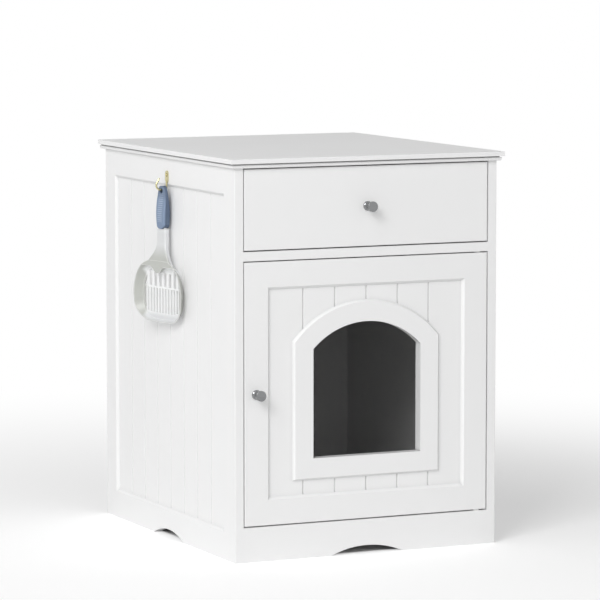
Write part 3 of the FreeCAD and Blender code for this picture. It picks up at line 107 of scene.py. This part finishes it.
# ---------------------------------------------------------------- grip of the scoop, in metres
DIMPLE_PITCH = 0.0034
DIMPLE_REACH = 0.42         # distance from a dimple's middle, in pitches, where it ends
DIMPLED_HALF_WIDTH = 0.0068  # the field of dimples, from its middle
DIMPLED_HALF_HEIGHT = 0.0238
EDGE_TO = 0.0024            # out of the handle's middle plane, where its edges' dark tone ends
FACE_FROM = 0.0044          # and where the front's pale tone begins
DIMPLE_DEPTH = 0.0004
DIMPLE_STRENGTH = 0.6
GRIP_EDGE = 0.0008          # rounding of its edges


# ---------------------------------------------------------------- node helpers
class Shader:
    """The nodes of one material or world, with short ways to add and join them."""

    def __init__(self, owner):
        owner.use_nodes = True
        self.owner = owner
        self.tree = owner.node_tree
        self.surface = self.tree.nodes.get("Principled BSDF")

    def add(self, kind, **inputs):
        node = self.tree.nodes.new(kind)
        for socket, value in inputs.items():
            node.inputs[socket.replace("_", " ")].default_value = value
        return node

    def join(self, source, target):
        self.tree.links.new(source, target)

    def set(self, **inputs):
        for socket, value in inputs.items():
            self.surface.inputs[socket.replace("_", " ")].default_value = value

    def compute(self, operation, *values):
        """A math node; each of its values is a number or a socket."""
        node = self.add("ShaderNodeMath")
        node.operation = operation
        for socket, value in zip(node.inputs, values):
            if isinstance(value, float):
                socket.default_value = value
            else:
                self.join(value, socket)
        return node.outputs["Value"]

    def object_place(self):
        return self.add("ShaderNodeTexCoord").outputs["Object"]

    def rise(self, value, start, end):
        """0 where value is at start, 1 where it is at end."""
        node = self.add("ShaderNodeMapRange", From_Min=start, From_Max=end)
        self.join(value, node.inputs["Value"])
        return node.outputs["Result"]

    def parts_of(self, vector):
        node = self.add("ShaderNodeSeparateXYZ")
        self.join(vector, node.inputs["Vector"])
        return node.outputs

    def round_edges(self, radius):
        """Softens sharp edges, as paint or a mould's radius does."""
        bevel = self.add("ShaderNodeBevel", Radius=radius)
        bevel.samples = 4
        return bevel.outputs["Normal"]

    def bump(self, height, strength, distance, normal=None):
        node = self.add("ShaderNodeBump", Strength=strength, Distance=distance)
        self.join(height, node.inputs["Height"])
        if normal is not None:
            self.join(normal, node.inputs["Normal"])
        return node.outputs["Normal"]

    def noise(self, scale, detail=2.0):
        node = self.add("ShaderNodeTexNoise", Scale=scale, Detail=detail)
        self.join(self.object_place(), node.inputs["Vector"])
        return node.outputs["Fac"]

    def clouded(self, color, scale, spread):
        """color, a little darker and lighter from place to place."""
        low, high = ([part * level for part in color] for level in (1 - spread, 1 + spread))
        return self.ramp(self.noise(scale), low, high)

    def painted_crevice_shade(self):
        """Painted shade: grey that is white on open faces and darkens in a piece's own grooves and
        corners, where shade falls.
        """
        node = self.add("ShaderNodeAmbientOcclusion", Distance=PAINTED_SHADE_REACH)
        node.only_local = True
        node.samples = 8
        return self.ramp(node.outputs["AO"], grey(PAINTED_SHADE_TONE), grey(1.0),
                         PAINTED_SHADE_CLOSED, PAINTED_SHADE_OPEN)

    def blend(self, kind, share, first, second):
        """Two colours blended; share is a number or a socket."""
        node = self.add("ShaderNodeMix")
        node.data_type = "RGBA"
        node.blend_type = kind
        if isinstance(share, float):
            node.inputs["Factor"].default_value = share
        else:
            self.join(share, node.inputs["Factor"])
        self.join(first, node.inputs["A"])
        self.join(second, node.inputs["B"])
        return node.outputs["Result"]

    def mixed(self, share, first, second):
        """Two shaders mixed by the socket share."""
        node = self.add("ShaderNodeMixShader")
        self.join(share, node.inputs["Fac"])
        self.join(first, node.inputs[1])
        self.join(second, node.inputs[2])
        return node.outputs["Shader"]

    def finish_with(self, result):
        """Makes the shader result what the material shows."""
        self.join(result, self.tree.nodes["Material Output"].inputs["Surface"])

    def ramp(self, value, low, high, start=0.3, end=0.7):
        """Colours from low to high as value goes from start to end."""
        node = self.add("ShaderNodeValToRGB")
        node.color_ramp.elements[0].position = start
        node.color_ramp.elements[0].color = (*low, 1)
        node.color_ramp.elements[1].position = end
        node.color_ramp.elements[1].color = (*high, 1)
        self.join(value, node.inputs["Fac"])
        return node.outputs["Color"]


def material_shader(name):
    return Shader(bpy.data.materials.new(name))


def grey(level):
    return (level, level, level)


# ---------------------------------------------------------------- finishes
def painted_inside_shade_share(shader):
    """1 on the faces that look into the cabin and the drawer's space, where shade is painted, else
    0.
    """
    parts = shader.parts_of(shader.object_place())
    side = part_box("bottom_panel")[1].x + FACE_PLAY
    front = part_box("door_panel")[1].y + FACE_PLAY
    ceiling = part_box("side_panel_left")[1].z - FACE_PLAY
    across = shader.compute("COMPARE", parts["X"], 0.0, side)
    behind = shader.compute("GREATER_THAN", parts["Y"], front)
    below = shader.compute("LESS_THAN", parts["Z"], ceiling)
    return shader.compute("MULTIPLY", shader.compute("MULTIPLY", across, behind), below)


def paint(name, color, roughness, inside_shade_tone=None):
    """Sprayed paint: faint orange peel, soft edges, and painted shade in grooves and corners and,
    with an inside tone, on the faces inside.
    """
    shader = material_shader(name)
    shader.set(Roughness=roughness, IOR=1.45)
    tone = shader.clouded(color, PAINT_CLOUDS, PAINT_SPREAD)
    if inside_shade_tone is not None:
        # Painted shade on the faces inside, which get little light.
        inside_shaded = shader.clouded(grey(inside_shade_tone), PAINT_CLOUDS, PAINT_SPREAD)
        tone = shader.blend("MIX", painted_inside_shade_share(shader), tone, inside_shaded)
    # Painted shade: the paint's colour darkened in grooves and corners.
    with_painted_shade = shader.blend("MULTIPLY", 1.0, tone, shader.painted_crevice_shade())
    shader.join(with_painted_shade, shader.surface.inputs["Base Color"])
    peel = shader.bump(shader.noise(PEEL_SCALE), PEEL_STRENGTH, PEEL_HEIGHT,
                       shader.round_edges(PAINT_EDGE))
    shader.join(peel, shader.surface.inputs["Normal"])
    return shader.owner


def metal(name, color, roughness, edge=0.0002, brushed=0.0):
    shader = material_shader(name)
    shader.set(Metallic=1.0)
    shader.join(shader.clouded(color, METAL_CLOUDS, 0.03), shader.surface.inputs["Base Color"])
    spread = shader.clouded(grey(roughness), GLOSS_CLOUDS, 0.15)
    shader.join(spread, shader.surface.inputs["Roughness"])
    normal = shader.round_edges(edge)
    if brushed:
        normal = shader.bump(shader.noise(BRUSH_SCALE), brushed, BRUSH_DEPTH, normal)
    shader.join(normal, shader.surface.inputs["Normal"])
    return shader.owner


def plastic(name, color, roughness, edge=0.0004):
    shader = material_shader(name)
    shader.set(Roughness=roughness, IOR=1.5)
    shader.join(shader.clouded(color, 30.0, 0.01), shader.surface.inputs["Base Color"])
    shader.join(shader.round_edges(edge), shader.surface.inputs["Normal"])
    return shader.owner


def beech(name):
    """Unfinished turned dowels with a fine straight grain."""
    shader = material_shader(name)
    shader.set(Roughness=0.7)
    wave = shader.add("ShaderNodeTexWave", Scale=300.0, Distortion=4.0, Detail=3.0)
    shader.join(shader.object_place(), wave.inputs["Vector"])
    shader.join(shader.ramp(wave.outputs["Fac"], (0.42, 0.27, 0.14), (0.55, 0.38, 0.21)),
                shader.surface.inputs["Base Color"])
    return shader.owner


def scoop_place(shader):
    """Place on the scoop: across it, out of the handle's middle plane and up."""
    low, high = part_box("scoop_grip")
    turned = shader.add("ShaderNodeMapping")
    turned.vector_type = "TEXTURE"
    turned.inputs["Location"].default_value = (low + high) / 2
    turned.inputs["Rotation"].default_value = (0, 0, -math.radians(SCOOP_TURN))
    shader.join(shader.object_place(), turned.inputs["Vector"])
    parts = shader.parts_of(turned.outputs["Vector"])
    return parts["X"], shader.compute("MULTIPLY", parts["Y"], -1.0), parts["Z"]


def painted_highlight_share(shader, reach):
    """1 close to sharp edges, where a highlight is painted, else 0."""
    product = shader.add("ShaderNodeVectorMath")
    product.operation = "DOT_PRODUCT"
    shader.join(shader.round_edges(reach), product.inputs[0])
    shader.join(shader.add("ShaderNodeNewGeometry").outputs["Normal"], product.inputs[1])
    return shader.rise(product.outputs["Value"], HIGHLIGHT_LEAN_FROM, HIGHLIGHT_LEAN_TO)


def painted_wall_shade_share(shader, across, out):
    """1 in the thin walls round the scoop's floor, where shade is painted, else 0."""
    outward = shader.rise(out, WALL_SHADE_OUT_FROM, WALL_SHADE_OUT_TO)
    sideways = shader.rise(shader.compute("ABSOLUTE", across), WALL_SHADE_SIDE_FROM, WALL_SHADE_SIDE_TO)
    return shader.compute("MAXIMUM", outward, sideways)


def milky_plastic(name):
    """Cloudy plastic of the scoop, with painted shade that greys its thin walls, painted light on
    its slotted floor and painted highlights at its edges.
    """
    shader = material_shader(name)
    shader.set(Roughness=0.3, IOR=1.49)
    across, out, up = scoop_place(shader)
    # Painted light: the slotted floor is lighter, standing in for light that comes through the
    # plastic from behind.
    from_slot_light = shader.compute("ABSOLUTE", shader.compute("SUBTRACT", up, SLOT_LIGHT_AT))
    slot_painted_light = shader.clouded((0.86, 0.87, 0.87), CLOUD_SCALE, 0.023)
    thick = shader.clouded((0.68, 0.69, 0.70), CLOUD_SCALE, 0.029)
    # Painted shade: the walls' grey stands in for the shade on them.
    wall_painted_shade = shader.clouded((0.47, 0.48, 0.45), CLOUD_SCALE, 0.043)
    # Painted highlight tone for the edges.
    edge_painted_highlight = shader.clouded((0.92, 0.92, 0.91), CLOUD_SCALE, 0.011)
    tone = shader.blend("MIX", shader.rise(from_slot_light, SLOT_LIGHT_HALF, SLOT_LIGHT_CLEAR), slot_painted_light, thick)
    tone = shader.blend("MIX", painted_wall_shade_share(shader, across, out), tone, wall_painted_shade)
    # Painted highlight along the edges.
    tone = shader.blend("MIX", painted_highlight_share(shader, HIGHLIGHT_REACH), tone, edge_painted_highlight)
    shader.join(tone, shader.surface.inputs["Base Color"])
    shader.join(shader.round_edges(SCOOP_EDGE), shader.surface.inputs["Normal"])
    clear = shader.add("ShaderNodeBsdfTransparent").outputs["BSDF"]
    shadow = shader.add("ShaderNodeLightPath").outputs["Is Shadow Ray"]
    share = shader.compute("MULTIPLY", shadow, LIGHT_LET_THROUGH)
    shader.finish_with(shader.mixed(share, shader.surface.outputs["BSDF"], clear))
    return shader.owner


def dimples(shader, across, up):
    """Height of the surface: level, with a square field of round dimples in the middle."""
    flat = shader.add("ShaderNodeCombineXYZ")
    shader.join(across, flat.inputs["X"])
    shader.join(up, flat.inputs["Y"])
    cells = shader.add("ShaderNodeTexVoronoi", Scale=1 / DIMPLE_PITCH, Randomness=0.0)
    cells.voronoi_dimensions = "2D"
    shader.join(flat.outputs["Vector"], cells.inputs["Vector"])
    in_width = shader.compute("COMPARE", across, 0.0, DIMPLED_HALF_WIDTH)
    in_height = shader.compute("COMPARE", up, 0.0, DIMPLED_HALF_HEIGHT)
    outside = shader.compute("SUBTRACT", 1.0, shader.compute("MULTIPLY", in_width, in_height))
    raised = shader.compute("ADD", cells.outputs["Distance"], outside)
    return shader.compute("MINIMUM", raised, DIMPLE_REACH)


def dimpled_rubber(name):
    """Soft blue rubber: dark, with a paler front that has a field of pale dimples."""
    shader = material_shader(name)
    shader.set(Roughness=0.6)
    across, out, up = scoop_place(shader)
    height = dimples(shader, across, up)
    pale = shader.ramp(height, (0.50, 0.58, 0.71), (0.20, 0.265, 0.38), 0.05, DIMPLE_REACH)
    dark = shader.ramp(shader.noise(20.0), (0.085, 0.12, 0.19), (0.10, 0.14, 0.21))
    on_face = shader.rise(out, EDGE_TO, FACE_FROM)
    shader.join(shader.blend("MIX", on_face, dark, pale), shader.surface.inputs["Base Color"])
    normal = shader.bump(height, DIMPLE_STRENGTH, DIMPLE_DEPTH, shader.round_edges(GRIP_EDGE))
    shader.join(normal, shader.surface.inputs["Normal"])
    return shader.owner


def finishes():
    return {
        "painted_board": paint("painted_board", grey(PAINT_TONE), 0.42, INSIDE_PAINTED_SHADE_TONE),
        # The back board's grey is the inside's painted shade tone.
        "back_board": paint("back_board", grey(INSIDE_PAINTED_SHADE_TONE), 0.6),
        "drawer_board": paint("drawer_board", (0.80, 0.80, 0.79), 0.5),
        "plain_steel": metal("plain_steel", (0.60, 0.60, 0.61), 0.32),
        "zinc_cam": metal("zinc_cam", (0.42, 0.43, 0.45), 0.45, brushed=0.4),
        "dowel_wood": beech("dowel_wood"),
        "chrome": metal("chrome", (0.26, 0.265, 0.27), 0.13),
        "nylon": plastic("nylon", (0.80, 0.80, 0.76), 0.42),
        "white_plastic": plastic("white_plastic", (0.78, 0.78, 0.78), 0.38),
        "runner_coat": paint("runner_coat", (0.80, 0.80, 0.79), 0.38),
        "brass": metal("brass", (0.60, 0.55, 0.33), 0.22),
        "scoop_plastic": milky_plastic("scoop_plastic"),
        "grip_rubber": dimpled_rubber("grip_rubber"),
    }


def dress():
    """Gives each piece the finish that the record names for it."""
    made = finishes()
    for subpart in frame["record"]["subparts"]:
        piece = frame["nodes"][subpart["node"]]
        piece.data.materials.clear()
        piece.data.materials.append(made[subpart["material_slot"]])


# ---------------------------------------------------------------- studio
def sees_backdrop(shader):
    """1 for what the camera sees, also by way of gloss or through clear plastic, else 0."""
    path = shader.add("ShaderNodeLightPath").outputs
    by_way = shader.compute("MAXIMUM", path["Is Glossy Ray"], path["Is Transmission Ray"])
    return shader.compute("MAXIMUM", path["Is Camera Ray"], by_way)


def glow_share(shader):
    """None under the cabinet, some round it and all of it far away."""
    place = shader.object_place()
    parts = shader.parts_of(place)
    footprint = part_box("bottom_panel")[1]
    across = shader.compute("DIVIDE", shader.compute("ABSOLUTE", parts["X"]), footprint.x)
    along = shader.compute("DIVIDE", shader.compute("ABSOLUTE", parts["Y"]), footprint.y)
    outside = shader.compute("GREATER_THAN", shader.compute("MAXIMUM", across, along), 1.0)
    length = shader.add("ShaderNodeVectorMath")
    length.operation = "LENGTH"
    shader.join(place, length.inputs[0])
    clearing = shader.add("ShaderNodeMapRange", From_Min=FLOOR_CLEAR_FROM, From_Max=FLOOR_CLEAR_TO,
                          To_Min=FLOOR_GLOW, To_Max=1.0)
    clearing.interpolation_type = "SMOOTHSTEP"
    shader.join(length.outputs["Value"], clearing.inputs["Value"])
    return shader.compute("MULTIPLY", clearing.outputs["Result"], outside)


def floor():
    """A pale floor that keeps the shadow and reads as almost white."""
    bpy.ops.mesh.primitive_plane_add(size=FLOOR_SIDE)
    plane = bpy.context.object
    plane.name = "studio_floor"
    shader = material_shader("studio_floor")
    shader.set(Base_Color=(*grey(FLOOR_TONE), 1), Roughness=0.9, Specular_IOR_Level=0.0)
    pale = shader.add("ShaderNodeBsdfDiffuse", Color=(*grey(FLOOR_SEEN_TONE), 1))
    white = shader.add("ShaderNodeEmission", Strength=1.0)
    shown = shader.mixed(glow_share(shader), pale.outputs["BSDF"], white.outputs["Emission"])
    shader.finish_with(shader.mixed(sees_backdrop(shader), shader.surface.outputs["BSDF"], shown))
    plane.data.materials.append(shader.owner)


def surroundings():
    """Soft light that changes evenly over the sky; the backdrop that shows is white."""
    world = bpy.data.worlds.new("studio")
    bpy.context.scene.world = world
    shader = Shader(world)
    shader.tree.nodes.clear()
    turn = math.radians(KEY_AZIMUTH)
    slope = Vector((-math.sin(turn), -math.cos(turn), 0)) * SKY_TOWARDS_KEY
    slope.z = SKY_OVERHEAD
    product = shader.add("ShaderNodeVectorMath")
    product.operation = "DOT_PRODUCT"
    shader.join(shader.add("ShaderNodeTexCoord").outputs["Generated"], product.inputs[0])
    product.inputs[1].default_value = slope
    level = shader.compute("ADD", product.outputs["Value"], SKY_LEVEL)
    fill = shader.add("ShaderNodeBackground", Color=(1, 1, 1, 1))
    shader.join(shader.compute("MAXIMUM", level, 0.0), fill.inputs["Strength"])
    backdrop = shader.add("ShaderNodeBackground", Color=(1, 1, 1, 1))
    whole = shader.mixed(sees_backdrop(shader), fill.outputs["Background"],
                         backdrop.outputs["Background"])
    output = shader.add("ShaderNodeOutputWorld")
    shader.join(whole, output.inputs["Surface"])


def softbox(name, azimuth, elevation, distance, size, power):
    """A square light that looks at the cabinet's middle."""
    aim = (bounds_at_load[0] + bounds_at_load[1]) / 2
    turn = math.radians(azimuth)
    lift = math.radians(elevation)
    away = Vector((-math.sin(turn) * math.cos(lift), -math.cos(turn) * math.cos(lift),
                   math.sin(lift)))
    data = bpy.data.lights.new(name, "AREA")
    data.size = size
    data.energy = power
    lamp = bpy.data.objects.new(name, data)
    bpy.context.scene.collection.objects.link(lamp)
    lamp.location = aim + away * distance
    lamp.rotation_euler = (-away).to_track_quat("-Z", "Y").to_euler()
    lamp.visible_camera = False


def camera():
    data = bpy.data.cameras.new("camera")
    data.sensor_width = CAMERA_SENSOR
    data.lens = CAMERA_LENS
    eye = bpy.data.objects.new("camera", data)
    bpy.context.scene.collection.objects.link(eye)
    eye.location = CAMERA_PLACE
    eye.rotation_euler = Euler((math.radians(CAMERA_PITCH), 0, math.radians(CAMERA_YAW)))
    bpy.context.scene.camera = eye


dress()
floor()
surroundings()
softbox("key", KEY_AZIMUTH, KEY_ELEVATION, KEY_DISTANCE, KEY_SIZE, KEY_POWER)
camera()
bpy.context.scene.view_settings.view_transform = "Standard"
